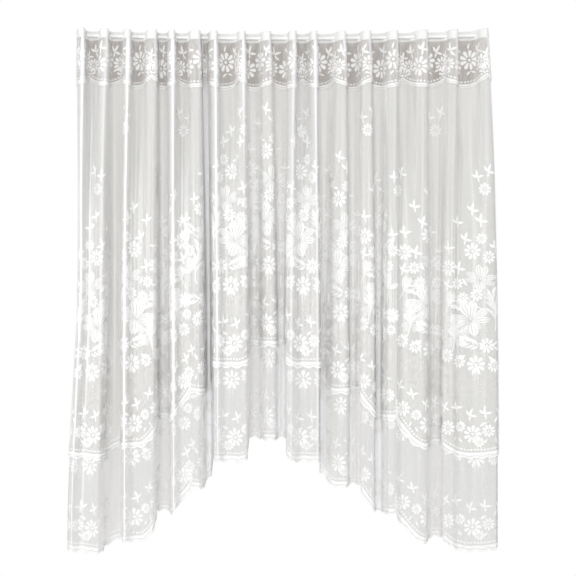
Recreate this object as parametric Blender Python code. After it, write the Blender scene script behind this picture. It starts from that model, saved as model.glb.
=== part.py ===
"""A lace valance hung on a thin tension rod: a Blender script, metres, +Z up, the front faces -Y.

The origin is the middle of the rod's left end face. The lace is three layers, a short scalloped
flounce over two arched tiers, under one opaque heading band. The band is pierced by evenly spaced
slots and pushed on to the rod, so it waves in front of the rod and behind it, and the layers hang in
those folds. The folds are a plan curve that is worked out at each drop below the rod from the table
FOLDS: where folds run together lower down, those that are left grow deeper, so that each group of
folds keeps the flat length that it has at the rod."""

from collections import namedtuple
from math import pi

import bmesh
import bpy
import numpy as np

# The rod
ROD_DIAMETER = 0.013
ROD_LENGTH = 1.512
ROD_SAG = 0.012
ROD_SIDES = 12
ROD_STEPS = 12

# The flat cloth. The places along it, called u, run from -FLAT_HALF to FLAT_HALF.
SLOT_SPACING = 0.090
FOLD_PITCH = 2 * SLOT_SPACING
CLOTH_THICKNESS = 0.0012
LAYER_STEP_TOP, LAYER_STEP_LOW = 0.0030, 0.0045
SEAM_GAP = 0.0003

# The heading band, measured from the rod's axis
BAND_ABOVE = 0.018
BAND_BELOW = 0.0150
BAND_THICKNESS = 0.0015
SLOT_ABOVE = 0.0072
SLOT_BELOW = 0.0110
SLOT_REACH = 0.0088

# One row for each forward fold, from left to right, as places along X from the rod's middle.
# left, right: where the fold's two walls cross the rod; left_low, right_low: the same at the hem.
# lean: how far the left wall runs sideways; run_low: how far the right one does, at the hem.
# valley_low: the share of its depth that the valley on the fold's right keeps at the hem.
Fold = namedtuple("Fold", "left right left_low right_low lean run_low valley_low")
FOLDS = (
    Fold(-0.744, -0.717, -0.748, -0.718, 0.016, 0.008, 0.30),
    Fold(-0.668, -0.631, -0.684, -0.645, 0.018, 0.014, 1.00),
    Fold(-0.580, -0.551, -0.591, -0.560, 0.014, 0.006, 0.30),
    Fold(-0.500, -0.456, -0.505, -0.456, 0.022, 0.003, 1.00),
    Fold(-0.419, -0.390, -0.414, -0.382, 0.017, 0.006, 0.25),
    Fold(-0.342, -0.298, -0.336, -0.286, 0.018, 0.010, 1.00),
    Fold(-0.269, -0.236, -0.258, -0.222, 0.018, 0.008, 0.20),
    Fold(-0.166, -0.135, -0.174, -0.121, 0.022, 0.002, 1.00),
    Fold(-0.079, -0.042, -0.080, -0.022, 0.018, 0.008, 1.00),
    Fold(0.020, 0.051, 0.008, 0.046, 0.010, 0.006, 0.25),
    Fold(0.097, 0.126, 0.099, 0.139, 0.016, 0.003, 1.00),
    Fold(0.192, 0.231, 0.168, 0.246, 0.028, 0.003, 1.00),
    Fold(0.284, 0.322, 0.278, 0.340, 0.020, 0.003, 1.00),
    Fold(0.379, 0.421, 0.368, 0.414, 0.022, 0.008, 0.15),
    Fold(0.481, 0.529, 0.470, 0.521, 0.024, 0.028, 1.00),
    Fold(0.602, 0.639, 0.580, 0.630, 0.018, 0.010, 0.20),
    Fold(0.712, 0.749, 0.716, 0.792, 0.020, 0.000, 1.00),
)
RUN_TOP = -0.002
LEAN_BEHIND = 0.4
FLAT_HALF = (2 * len(FOLDS) - 1) * SLOT_SPACING / 2

# How the folds change with the drop below the rod
MERGE_FROM, MERGE_TO = 0.10, 0.75
DRIFT_TO = 1.5
BACK_TOP, BACK_LOW, BACK_TO = 0.016, 0.034, 1.1
EDGE_FRONT = -0.010
CREASE_BACK, CREASE_LEFT, CREASE_RIGHT, CREASE_GROWTH = 0.011, 0.010, 0.006, 0.7
CREASE_SHARE = 0.42
FLARE, FLARE_FROM, FLARE_TO = 0.044, 0.82, 1.85
FLARE_START, FLARE_SPAN = -0.600, 0.150
DEPTH_RANGE = (0.004, 0.160)
DEPTH_ROUNDS = 26
PLAN_DROPS = np.linspace(0.0, 1.9, 20)

# The tiers' hem, as drops below the rod. One row for each step of the arch, from the middle out.
# left, right: how far from the middle, along the flat cloth, the step begins on either side.
# start: its drop there; bottom: its lowest; rise: how far it comes up again at its outer end.
Step = namedtuple("Step", "left right start bottom rise")
STEPS = (
    Step(0.000, 0.000, 1.131, 1.131, 0.008),
    Step(0.135, 0.135, 1.143, 1.206, 0.006),
    Step(0.405, 0.405, 1.219, 1.305, 0.006),
    Step(0.610, 0.675, 1.315, 1.403, 0.006),
    Step(0.880, 0.945, 1.412, 1.504, 0.006),
    Step(1.150, 1.215, 1.508, 1.549, 0.022),
)
STEP_FALL = 0.42
SCALLOP_LENGTH = SLOT_SPACING / 2
SCALLOP_DEPTH = 0.009
REAR_EXTRA = 0.340
HEM_STEP = SCALLOP_LENGTH / 3
HEM_CLEAR = 0.002

# The flounce's hem
FLOUNCE_REPEAT = 0.235
FLOUNCE_CUSP_AT = 0.040
FLOUNCE_CUSP, FLOUNCE_BOTTOM = 0.160, 0.191
FLOUNCE_ROUNDNESS = 0.7

# The drops at which the cloth's solids bend: just under the flounce, then shares of the front hem's
UPPER_LEVEL = FLOUNCE_BOTTOM + 0.004
LEVEL_SHARES = (0.42, 0.70, 1.00)
HEM_ROUNDS = 4
SHARPEST_TURN = 1.2

WHITE_PAINT = ((0.90, 0.90, 0.89), 0.35, 0.0)
WHITE_TAPE = ((0.93, 0.93, 0.92), 0.85, 0.0)
WHITE_LACE = ((0.90, 0.90, 0.90), 0.90, 0.0)


def ramp(value, low, high):
    """0 below low, 1 above high and a smooth slope between."""
    share = np.clip((value - low) / (high - low), 0.0, 1.0)
    return share * share * (3.0 - 2.0 * share)


def between(low, high, share):
    return low + (high - low) * share


def rod_height(x):
    """The height of the rod's axis, which sags in the middle."""
    return -ROD_SAG * (1.0 - (2.0 * x / ROD_LENGTH) ** 2)


# ---- The plan curve of the folds ----


def fold_groups():
    """Runs of folds, as lists of their numbers, that end at a valley that stays deep to the hem."""
    groups, run = [], []
    for number, fold in enumerate(FOLDS):
        run.append(number)
        if fold.valley_low == 1.0:
            groups.append(run)
            run = []
    return groups


def fold_corners(number, drop, front, back):
    """The four corners of one fold at a drop: back left, front left, front right and back right."""
    fold = FOLDS[number]
    drift = 1.0 - (1.0 - min(drop / DRIFT_TO, 1.0)) ** 2
    left = between(fold.left, fold.left_low, drift)
    right = between(fold.right, fold.right_low, drift)
    run = between(RUN_TOP, fold.run_low, drift)
    growth = 1.0 + CREASE_GROWTH * drift
    corners = [
        (left - LEAN_BEHIND * fold.lean, back, growth * CREASE_BACK),
        (left + (1.0 - LEAN_BEHIND) * fold.lean, front, growth * CREASE_LEFT),
        (right, front, growth * CREASE_RIGHT),
        (right + run, back, growth * CREASE_BACK),
    ]
    flare = FLARE * ramp(drop, FLARE_FROM, FLARE_TO)
    return [
        (x - flare * np.clip((FLARE_START - x) / FLARE_SPAN, 0.0, 1.0), y, crease)
        for x, y, crease in corners
    ]


def valley_middle(number, drop, back):
    """The middle of the floor of the valley on a fold's right."""
    right = fold_corners(number, drop, 0.0, 0.0)[3][0]
    left = fold_corners(number + 1, drop, 0.0, 0.0)[0][0]
    return ((left + right) / 2, back, 0.0)


def group_corners(group, drop, depth):
    """The corners of a group of folds of one depth, from valley to valley or to the cloth's edge."""
    back = between(BACK_TOP, BACK_LOW, ramp(drop, 0.0, BACK_TO))
    front = back - depth
    merged = ramp(drop, MERGE_FROM, MERGE_TO)
    edge = between(EDGE_FRONT, back, merged)
    corners = []
    floor = back
    for number in group:
        fold = fold_corners(number, drop, front, back)
        kept = between(1.0, FOLDS[number].valley_low, merged)
        next_floor = between(front, back, kept)
        fold[0] = (fold[0][0], floor, fold[0][2])
        fold[3] = (fold[3][0], next_floor, fold[3][2])
        corners += fold
        floor = next_floor
    first, last = group[0], group[-1]
    if first == 0:
        corners[0] = (corners[0][0], edge, 0.0)
    else:
        corners.insert(0, valley_middle(first - 1, drop, back))
    if last == len(FOLDS) - 1:
        corners[-1] = (corners[-1][0], edge, 0.0)
    else:
        corners.append(valley_middle(last, drop, back))
    return corners


def chamfered(corners):
    """The points of a line through the corners, each one cut off over its crease's length."""
    points = [np.array(corners[0][:2])]
    for before, corner, after in zip(corners, corners[1:], corners[2:]):
        middle = np.array(corner[:2])
        arms = [np.array(end[:2]) - middle for end in (before, after)]
        sizes = [np.hypot(*arm) for arm in arms]
        crease = min(corner[2], CREASE_SHARE * min(sizes))
        points += [middle + arm / size * crease for arm, size in zip(arms, sizes)]
    points.append(np.array(corners[-1][:2]))
    return np.array(points)


def lengths_along(points):
    steps = np.hypot(*np.diff(points, axis=0).T)
    return np.concatenate([[0.0], np.cumsum(steps)])


def flat_start(number):
    """How far along the flat cloth a fold begins, at the middle of the valley on its left."""
    return np.clip(number * FOLD_PITCH - SLOT_SPACING / 2, 0.0, 2 * FLAT_HALF)


def group_line(group, drop):
    """A row for each point of the group's line: X, Y and flat place. It is as deep as its cloth needs."""
    start = flat_start(group[0])
    end = flat_start(group[-1] + 1)
    shallow, deep = DEPTH_RANGE
    for _ in range(DEPTH_ROUNDS):
        depth = (shallow + deep) / 2
        points = chamfered(group_corners(group, drop, depth))
        along = lengths_along(points)
        if along[-1] < end - start:
            shallow = depth
        else:
            deep = depth
    flat = between(start, end, along / along[-1]) - FLAT_HALF
    return np.column_stack([points, flat])


def plan_table():
    """X, Y and flat place of each column of the folds, at each of PLAN_DROPS."""
    rows = []
    for drop in PLAN_DROPS:
        lines = [group_line(group, drop) for group in fold_groups()]
        rows.append(np.concatenate([lines[0]] + [line[1:] for line in lines[1:]]))
    return np.array(rows)


def plan_at(table, drops):
    """X, Y and flat place of each column, at a drop of its own."""
    place = np.interp(drops, PLAN_DROPS, np.arange(len(PLAN_DROPS)))
    low = np.minimum(place.astype(int), len(PLAN_DROPS) - 2)
    column = np.arange(len(drops))
    return between(table[low, column], table[low + 1, column], (place - low)[:, None])


# ---- The hems ----


def side_arch(away, begins):
    """The drops of the steps that begin at these distances from the middle, at distances from it."""
    ends = np.append(begins[1:], FLAT_HALF)
    number = np.searchsorted(begins[1:], away, side="right")
    share = np.clip((away - begins[number]) / (ends - begins)[number], 0.0, 1.0)
    start, bottom, rise = np.array([step[2:] for step in STEPS])[number].T
    fall = np.sin(np.minimum(share / STEP_FALL, 1.0) * pi / 2)
    end = np.maximum(share - STEP_FALL, 0.0) / (1.0 - STEP_FALL)
    return between(start, bottom, fall) - rise * end**2


def tier_arch(flat):
    """The front tier's drop at flat places: the steps of its arch."""
    left, right = (np.array([step[side] for step in STEPS]) for side in (0, 1))
    return np.where(flat < 0.0, side_arch(-flat, left), side_arch(flat, right))


def tier_hem(flat):
    """The arch with the small scallops along it."""
    scallop = np.abs(np.sin((flat + FLAT_HALF) * pi / SCALLOP_LENGTH))
    return tier_arch(flat) - SCALLOP_DEPTH * (1.0 - scallop)


def flounce_hem(flat):
    """The flounce's drop at flat places: round lobes that meet in cusps."""
    lobe = np.abs(np.sin((flat - FLOUNCE_CUSP_AT) * pi / FLOUNCE_REPEAT))
    return between(FLOUNCE_CUSP, FLOUNCE_BOTTOM, lobe**FLOUNCE_ROUNDNESS)


# ---- Solids ----


def offset_line(points, distance):
    """The plan points moved sideways, backwards if distance is above 0, into a parallel line."""
    ahead = np.diff(points, axis=0)
    ahead /= np.hypot(*ahead.T)[:, None]
    sideways = np.stack([-ahead[:, 1], ahead[:, 0]], axis=1)
    before = np.concatenate([sideways[:1], sideways])
    after = np.concatenate([sideways, sideways[-1:]])
    both = before + after
    return points + distance * 2 * both / np.maximum((both**2).sum(axis=1), SHARPEST_TURN)[:, None]


class Drape:
    """The layers' folds, on columns that follow the creases and run straight between a few levels."""

    def __init__(self):
        self.table = plan_table()
        columns = self.table.shape[1]
        self.levels = [np.full(columns, drop) for drop in (-BAND_ABOVE, BAND_BELOW, UPPER_LEVEL)]
        self.levels += [self.drops_at(tier_arch, share) for share in LEVEL_SHARES]
        self.levels.append(self.levels[-1] + REAR_EXTRA)
        self.plans = [plan_at(self.table, level) for level in self.levels]
        self.top = rod_height(self.table[0, :, 0])

    def drops_at(self, hem, share=1.0, extra=0.0):
        """Each column's drop at a share of a hem, which is a function of the flat place."""
        drops = np.full(self.table.shape[1], UPPER_LEVEL)
        for _ in range(HEM_ROUNDS):
            drops = share * hem(plan_at(self.table, drops)[:, 2]) + extra
        return drops

    def lines(self, layer, side):
        """The columns as lines from level to level: [level, column] of X, Y, flat place and drop.

        The layer is -1, 0 or 1, from the front, and side is the distance behind its middle."""
        drops = np.array(self.levels)
        spread = ramp(drops.mean(axis=1), UPPER_LEVEL, drops[-2].mean())
        steps = between(LAYER_STEP_TOP, LAYER_STEP_LOW, spread)
        moved = [
            np.column_stack([offset_line(plan[:, :2], layer * step + side), plan[:, 2]])
            for plan, step in zip(self.plans, steps)
        ]
        return np.concatenate([np.array(moved), drops[:, :, None]], axis=2)

    def point(self, lines, column, drop):
        """The point of one column's line at a drop below the rod."""
        line = lines[:, column]
        x, y = (np.interp(drop, line[:, 3], line[:, k]) for k in (0, 1))
        return np.array([x, y, self.top[column] - drop])

    def row(self, lines, drops):
        return [self.point(lines, column, drop) for column, drop in enumerate(drops)]

    def hem_row(self, lines, hem, extra):
        """The points of a hem, in a list for each column: its own and those up to the next one.

        Those between are on the straight lines that join the columns."""
        drops = self.drops_at(hem, extra=extra)
        flat = plan_at(self.table, drops)[:, 2]
        row = []
        for column, (start, end) in enumerate(zip(flat, flat[1:])):
            marks = np.arange(np.ceil(start / HEM_STEP), np.ceil(end / HEM_STEP)) * HEM_STEP
            points = [self.point(lines, column, drops[column])]
            for mark in marks[(marks > start + HEM_CLEAR) & (marks < end - HEM_CLEAR)]:
                drop = float(hem(np.array([mark]))[0]) + extra
                pair = [self.point(lines, side, drop) for side in (column, column + 1)]
                points.append(between(*pair, (mark - start) / (end - start)))
            row.append(points)
        row.append([self.point(lines, len(flat) - 1, drops[-1])])
        return row


def material(name, look):
    colour, roughness, metallic = look
    made = bpy.data.materials.new(name)
    made.use_nodes = True
    shader = made.node_tree.nodes["Principled BSDF"]
    shader.inputs["Base Color"].default_value = (*colour, 1.0)
    shader.inputs["Roughness"].default_value = roughness
    shader.inputs["Metallic"].default_value = metallic
    made.diffuse_color = (*colour, 1.0)
    return made


def add_object(name, mesh, look, parent):
    made = bpy.data.objects.new(name, mesh)
    bpy.context.scene.collection.objects.link(made)
    made.parent = parent
    if look:
        mesh.materials.append(look)
    return made


def cloth_mesh(name, drape, layer, thickness, rows, hem=None, extra=0.0):
    """A sheet of cloth between rows of drops, down to a hem if there is one."""
    mesh = bmesh.new()
    sides = []
    for side in (-thickness / 2, thickness / 2):
        lines = drape.lines(layer, side)
        grid = [[[point] for point in drape.row(lines, drops)] for drops in rows]
        if hem:
            grid.append(drape.hem_row(lines, hem, extra))
        sides.append([[[mesh.verts.new(p) for p in cell] for cell in row] for row in grid])
    for grid, flip in zip(sides, (False, True)):
        for upper, lower in zip(grid, grid[1:]):
            for n in range(len(upper) - 1):
                (a,), (b,) = upper[n], upper[n + 1]
                below = lower[n] + lower[n + 1][:1]
                parts = [(a, c, d) for c, d in zip(below, below[1:])] + [(a, below[-1], b)]
                for part in parts:
                    mesh.faces.new(reversed(part) if flip else part)
    front, back = sides
    rims = [
        ([v for cell in front[0] for v in cell], [v for cell in back[0] for v in cell]),
        ([v for cell in front[-1] for v in cell], [v for cell in back[-1] for v in cell]),
        ([row[0][0] for row in front], [row[0][0] for row in back]),
        ([row[-1][0] for row in front], [row[-1][0] for row in back]),
    ]
    for near, far in rims:
        for n in range(len(near) - 1):
            mesh.faces.new((near[n], near[n + 1], far[n + 1], far[n]))
    bmesh.ops.recalc_face_normals(mesh, faces=mesh.faces)
    data = bpy.data.meshes.new(name)
    mesh.to_mesh(data)
    mesh.free()
    return data


def along_rod_mesh(name, outline, steps):
    """A closed bar along the rod's axis with one outline, a ring of (Y, height) points."""
    mesh = bmesh.new()
    rings = []
    for x in np.linspace(-ROD_LENGTH / 2, ROD_LENGTH / 2, steps + 1):
        rings.append([mesh.verts.new((x, y, rod_height(x) + z)) for y, z in outline])
    for left, right in zip(rings, rings[1:]):
        for n in range(len(outline)):
            m = (n + 1) % len(outline)
            mesh.faces.new((left[n], left[m], right[m], right[n]))
    mesh.faces.new(rings[0])
    mesh.faces.new(reversed(rings[-1]))
    bmesh.ops.recalc_face_normals(mesh, faces=mesh.faces)
    data = bpy.data.meshes.new(name)
    mesh.to_mesh(data)
    mesh.free()
    return data


def make_rod(look, parent):
    angles = [2 * pi * n / ROD_SIDES for n in range(ROD_SIDES)]
    outline = [(ROD_DIAMETER / 2 * np.cos(a), ROD_DIAMETER / 2 * np.sin(a)) for a in angles]
    mesh = along_rod_mesh("rod", outline, ROD_STEPS)
    mesh.shade_smooth()
    mesh.set_sharp_from_angle(angle=pi / 4)
    return add_object("rod", mesh, look, parent)


def make_band(drape, look, parent):
    """The heading band, with a slot for the rod cut through every wall of its folds."""
    rows = [np.full(len(drape.top), drop) for drop in (-BAND_ABOVE, BAND_BELOW)]
    mesh = cloth_mesh("heading_band", drape, 0, BAND_THICKNESS, rows)
    band = add_object("heading_band", mesh, look, parent)
    reach = SLOT_REACH
    outline = [(-reach, -SLOT_BELOW), (reach, -SLOT_BELOW), (reach, SLOT_ABOVE), (-reach, SLOT_ABOVE)]
    cutter = add_object("slot_cutter", along_rod_mesh("slot_cutter", outline, ROD_STEPS), None, parent)
    cutter.hide_render = True
    cutter.display_type = "WIRE"
    cut = band.modifiers.new("slots", "BOOLEAN")
    cut.operation = "DIFFERENCE"
    cut.solver = "EXACT"
    cut.object = cutter
    return band


def make_flounce(drape, look, parent):
    top = [np.full(len(drape.top), BAND_BELOW + SEAM_GAP)]
    mesh = cloth_mesh("valance_flounce", drape, -1, CLOTH_THICKNESS, top, flounce_hem)
    return add_object("valance_flounce", mesh, look, parent)


def make_tier(name, layer, extra, drape, look, parent):
    """An arched tier. With extra length it bends at the front tier's hem too."""
    rows = [np.full(len(drape.top), drop) for drop in (BAND_BELOW + SEAM_GAP, UPPER_LEVEL)]
    shares = [share for share in LEVEL_SHARES if share < 1.0 or extra]
    rows += [drape.drops_at(tier_arch, share) for share in shares]
    mesh = cloth_mesh(name, drape, layer, CLOTH_THICKNESS, rows, tier_hem, extra)
    return add_object(name, mesh, look, parent)


def main():
    for old in list(bpy.data.objects):
        bpy.data.objects.remove(old)
    middle = bpy.data.objects.new("rod_middle", None)
    bpy.context.scene.collection.objects.link(middle)
    middle.location = (ROD_LENGTH / 2, 0.0, 0.0)
    paint = material("white_paint", WHITE_PAINT)
    tape = material("white_tape", WHITE_TAPE)
    lace = material("white_lace", WHITE_LACE)
    drape = Drape()
    make_rod(paint, middle)
    make_band(drape, tape, middle)
    make_flounce(drape, lace, middle)
    make_tier("front_tier", 0, 0.0, drape, lace, middle)
    make_tier("rear_tier", 1, REAR_EXTRA, drape, lace, middle)


main()
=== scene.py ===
"""The looks of a lace valance on a thin tension rod: knitted net with raised flowers on its folds.

Lengths are in metres. A place on the cloth is given flat: how far it is along the cloth from its
middle, and its drop below the rod. The folds are worked out as the solids' are, and then rounded."""

from collections import namedtuple
from math import cos, pi, radians, sin

import bpy
import numpy as np
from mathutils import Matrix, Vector


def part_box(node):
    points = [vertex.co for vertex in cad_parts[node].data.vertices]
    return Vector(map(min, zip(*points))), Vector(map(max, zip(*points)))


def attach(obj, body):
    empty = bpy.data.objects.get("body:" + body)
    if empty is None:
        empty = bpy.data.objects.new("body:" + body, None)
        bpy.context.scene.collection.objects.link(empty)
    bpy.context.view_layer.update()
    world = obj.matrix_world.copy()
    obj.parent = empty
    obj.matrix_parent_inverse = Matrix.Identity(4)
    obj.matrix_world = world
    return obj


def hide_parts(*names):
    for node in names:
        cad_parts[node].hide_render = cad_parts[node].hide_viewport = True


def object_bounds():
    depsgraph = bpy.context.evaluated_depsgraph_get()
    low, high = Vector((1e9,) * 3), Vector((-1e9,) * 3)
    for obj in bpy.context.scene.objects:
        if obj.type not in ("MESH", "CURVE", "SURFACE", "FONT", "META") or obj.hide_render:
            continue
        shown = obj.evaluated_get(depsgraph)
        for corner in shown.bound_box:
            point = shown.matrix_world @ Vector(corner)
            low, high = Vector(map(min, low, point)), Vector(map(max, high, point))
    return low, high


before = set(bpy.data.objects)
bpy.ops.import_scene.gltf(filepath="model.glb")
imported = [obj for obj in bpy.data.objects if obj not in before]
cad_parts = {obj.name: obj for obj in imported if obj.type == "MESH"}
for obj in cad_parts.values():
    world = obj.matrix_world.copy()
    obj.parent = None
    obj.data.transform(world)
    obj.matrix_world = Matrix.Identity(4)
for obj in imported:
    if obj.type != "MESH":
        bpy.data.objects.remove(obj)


def plain(box):
    """A box's two corners as lists of numbers."""
    return [[float(x) for x in corner] for corner in box]


cad_box = plain(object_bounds())
rod_low, rod_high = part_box("rod")
MIDDLE_X = (rod_low[0] + rod_high[0]) / 2

# ---- The folds: the same sizes as the solids have, as drops below the rod and places along X ----

ROD_LENGTH, ROD_SAG = 1.512, 0.012
SLOT_SPACING = 0.090
FOLD_PITCH = 2 * SLOT_SPACING
LAYER_STEP_TOP, LAYER_STEP_LOW = 0.0030, 0.0045
SEAM_GAP = 0.0003
BAND_ABOVE, BAND_BELOW = 0.018, 0.0150
SLOT_ABOVE, SLOT_BELOW, SLOT_REACH = 0.0072, 0.0110, 0.0088

# left, right: where a fold's two walls cross the rod, from its middle; left_low, right_low: at the hem.
# lean, run_low: how far the left wall, and at the hem the right one, run sideways.
# valley_low: the share of its depth that the valley on the fold's right keeps at the hem.
Fold = namedtuple("Fold", "left right left_low right_low lean run_low valley_low")
FOLD_ROWS = (
    (-0.744, -0.717, -0.748, -0.718, 0.016, 0.008, 0.30),
    (-0.668, -0.631, -0.684, -0.645, 0.018, 0.014, 1.00),
    (-0.580, -0.551, -0.591, -0.560, 0.014, 0.006, 0.30),
    (-0.500, -0.456, -0.505, -0.456, 0.022, 0.003, 1.00),
    (-0.419, -0.390, -0.414, -0.382, 0.017, 0.006, 0.25),
    (-0.342, -0.298, -0.336, -0.286, 0.018, 0.010, 1.00),
    (-0.269, -0.236, -0.258, -0.222, 0.018, 0.008, 0.20),
    (-0.166, -0.135, -0.174, -0.121, 0.022, 0.002, 1.00),
    (-0.079, -0.042, -0.080, -0.022, 0.018, 0.008, 1.00),
    (0.020, 0.051, 0.008, 0.046, 0.010, 0.006, 0.25),
    (0.097, 0.126, 0.099, 0.139, 0.016, 0.003, 1.00),
    (0.192, 0.231, 0.168, 0.246, 0.028, 0.003, 1.00),
    (0.284, 0.322, 0.278, 0.340, 0.020, 0.003, 1.00),
    (0.379, 0.421, 0.368, 0.414, 0.022, 0.008, 0.15),
    (0.481, 0.529, 0.470, 0.521, 0.024, 0.028, 1.00),
    (0.602, 0.639, 0.580, 0.630, 0.018, 0.010, 0.20),
    (0.712, 0.749, 0.716, 0.792, 0.020, 0.000, 1.00),
)
FOLDS = [Fold(*row) for row in FOLD_ROWS]
RUN_TOP = -0.002
LEAN_BEHIND = 0.4
FLAT_HALF = (2 * len(FOLDS) - 1) * SLOT_SPACING / 2

MERGE_FROM, MERGE_TO = 0.10, 0.75
DRIFT_TO = 1.5
BACK_TOP, BACK_LOW, BACK_TO = 0.016, 0.034, 1.1
EDGE_FRONT = -0.010
CREASE_BACK, CREASE_LEFT, CREASE_RIGHT, CREASE_GROWTH = 0.011, 0.010, 0.006, 0.7
CREASE_SHARE = 0.42
FLARE, FLARE_FROM, FLARE_TO = 0.044, 0.82, 1.85
FLARE_START, FLARE_SPAN = -0.600, 0.150
DEPTH_RANGE = (0.004, 0.160)
DEPTH_ROUNDS = 22

# The arch's steps, from the middle out. left, right: how far along the flat cloth each begins on either
# side. start, bottom: its drop there and its lowest; rise: how far it comes up again at its outer end.
Step = namedtuple("Step", "left right start bottom rise")
STEPS = (
    Step(0.000, 0.000, 1.131, 1.131, 0.008),
    Step(0.135, 0.135, 1.143, 1.206, 0.006),
    Step(0.405, 0.405, 1.219, 1.305, 0.006),
    Step(0.610, 0.675, 1.315, 1.403, 0.006),
    Step(0.880, 0.945, 1.412, 1.504, 0.006),
    Step(1.150, 1.215, 1.508, 1.549, 0.022),
)
STEP_FALL = 0.42
SCALLOP_LENGTH = SLOT_SPACING / 2
SCALLOP_DEPTH = 0.009
REAR_EXTRA = 0.340

FLOUNCE_REPEAT = 0.235
FLOUNCE_CUSP_AT = 0.040
FLOUNCE_CUSP, FLOUNCE_BOTTOM = 0.160, 0.191
FLOUNCE_ROUNDNESS = 0.7
FLOUNCE_SCALLOP = FLOUNCE_REPEAT / 10
FLOUNCE_SCALLOP_DEPTH = 0.003

# How finely the folds are worked out, and how they are rounded
PLAN_STEP, PLAN_TO, PLAN_COLUMNS = 0.040, 1.96, 991
ROUND_OFF, ROUND_REACH = 0.0034, 4
# Keeps a place at the table's end just inside its last cell
INSIDE = 1.001
LAYERS_MEET = 0.35
RIPPLE, RIPPLE_LENGTH, RIPPLE_DRIFT, RIPPLE_WAVE = 0.0016, 0.061, 0.35, 0.31


def ramp(value, low, high):
    """0 below low, 1 above high and a smooth slope between."""
    share = np.clip((value - low) / (high - low), 0.0, 1.0)
    return share * share * (3.0 - 2.0 * share)


def between(low, high, share):
    """The value at a share of the way from low to high."""
    return low + (high - low) * share


def places_across(count):
    """Evenly spaced places over the whole flat cloth."""
    return np.linspace(-FLAT_HALF, FLAT_HALF, count)


def rod_height(x):
    """The height of the rod's axis, which sags in the middle."""
    return -ROD_SAG * (1.0 - (2.0 * x / ROD_LENGTH) ** 2)


def fold_groups():
    """Runs of folds, as lists of their numbers, that end at a valley that stays deep to the hem."""
    groups = [[]]
    for number, fold in enumerate(FOLDS):
        groups[-1].append(number)
        if fold.valley_low == 1.0:
            groups.append([])
    return groups[:-1]


def fold_corners(number, drop, front, back):
    """The four corners of one fold at a drop: back left, front left, front right and back right."""
    fold = FOLDS[number]
    drift = 1.0 - (1.0 - min(drop / DRIFT_TO, 1.0)) ** 2
    left = between(fold.left, fold.left_low, drift)
    right = between(fold.right, fold.right_low, drift)
    run = between(RUN_TOP, fold.run_low, drift)
    growth = 1.0 + CREASE_GROWTH * drift
    corners = [
        (left - LEAN_BEHIND * fold.lean, back, growth * CREASE_BACK),
        (left + (1.0 - LEAN_BEHIND) * fold.lean, front, growth * CREASE_LEFT),
        (right, front, growth * CREASE_RIGHT),
        (right + run, back, growth * CREASE_BACK),
    ]
    flare = FLARE * ramp(drop, FLARE_FROM, FLARE_TO)
    return [
        (x - flare * np.clip((FLARE_START - x) / FLARE_SPAN, 0.0, 1.0), y, crease)
        for x, y, crease in corners
    ]


def valley_middle(number, drop, back):
    """The middle of the floor of the valley on a fold's right."""
    right = fold_corners(number, drop, 0.0, 0.0)[3][0]
    left = fold_corners(number + 1, drop, 0.0, 0.0)[0][0]
    return ((left + right) / 2, back, 0.0)


def group_corners(group, drop, depth):
    """The corners of a group of folds of one depth, from valley to valley or to the cloth's edge."""
    back = between(BACK_TOP, BACK_LOW, ramp(drop, 0.0, BACK_TO))
    front = back - depth
    merged = ramp(drop, MERGE_FROM, MERGE_TO)
    edge = between(EDGE_FRONT, back, merged)
    corners = []
    floor = back
    for number in group:
        fold = fold_corners(number, drop, front, back)
        kept = between(1.0, FOLDS[number].valley_low, merged)
        next_floor = between(front, back, kept)
        fold[0] = (fold[0][0], floor, fold[0][2])
        fold[3] = (fold[3][0], next_floor, fold[3][2])
        corners += fold
        floor = next_floor
    first, last = group[0], group[-1]
    if first == 0:
        corners[0] = (corners[0][0], edge, 0.0)
    else:
        corners.insert(0, valley_middle(first - 1, drop, back))
    if last == len(FOLDS) - 1:
        corners[-1] = (corners[-1][0], edge, 0.0)
    else:
        corners.append(valley_middle(last, drop, back))
    return corners


def chamfered(corners):
    """The points of a line through the corners, each one cut off over its crease's length."""
    points = [np.array(corners[0][:2])]
    for before, corner, after in zip(corners, corners[1:], corners[2:]):
        middle = np.array(corner[:2])
        arms = [np.array(end[:2]) - middle for end in (before, after)]
        sizes = [np.hypot(*arm) for arm in arms]
        crease = min(corner[2], CREASE_SHARE * min(sizes))
        points += [middle + arm / size * crease for arm, size in zip(arms, sizes)]
    points.append(np.array(corners[-1][:2]))
    return np.array(points)


def lengths_along(points):
    """How far along a line each of its points is."""
    steps = np.hypot(*np.diff(points, axis=0).T)
    return np.concatenate([[0.0], np.cumsum(steps)])


def flat_start(number):
    """How far along the flat cloth a fold begins, at the middle of the valley on its left."""
    return np.clip(number * FOLD_PITCH - SLOT_SPACING / 2, 0.0, 2 * FLAT_HALF)


def group_line(group, drop):
    """The group's points, as rows of X, Y and flat place, with folds as deep as the cloth needs."""
    start = flat_start(group[0])
    end = flat_start(group[-1] + 1)
    shallow, deep = DEPTH_RANGE
    for _ in range(DEPTH_ROUNDS):
        depth = (shallow + deep) / 2
        points = chamfered(group_corners(group, drop, depth))
        along = lengths_along(points)
        if along[-1] < end - start:
            shallow = depth
        else:
            deep = depth
    flat = between(start, end, along / along[-1]) - FLAT_HALF
    return np.column_stack([points, flat])


def rounded(values, spread):
    """A row of values smoothed over a spread in columns, with its ends carried on straight."""
    reach = int(ROUND_REACH * spread)
    weights = np.exp(-0.5 * (np.arange(-reach, reach + 1) / spread) ** 2)
    before = 2 * values[0] - values[reach:0:-1]
    after = 2 * values[-1] - values[-2 : -reach - 2 : -1]
    longer = np.concatenate([before, values, after])
    return np.convolve(longer, weights / weights.sum(), mode="valid")


# The columns of the folds' table: a place, the unit vector square to the cloth, its turn for each metre
X, Y, SQUARE_X, SQUARE_Y, TURN = range(5)


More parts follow.
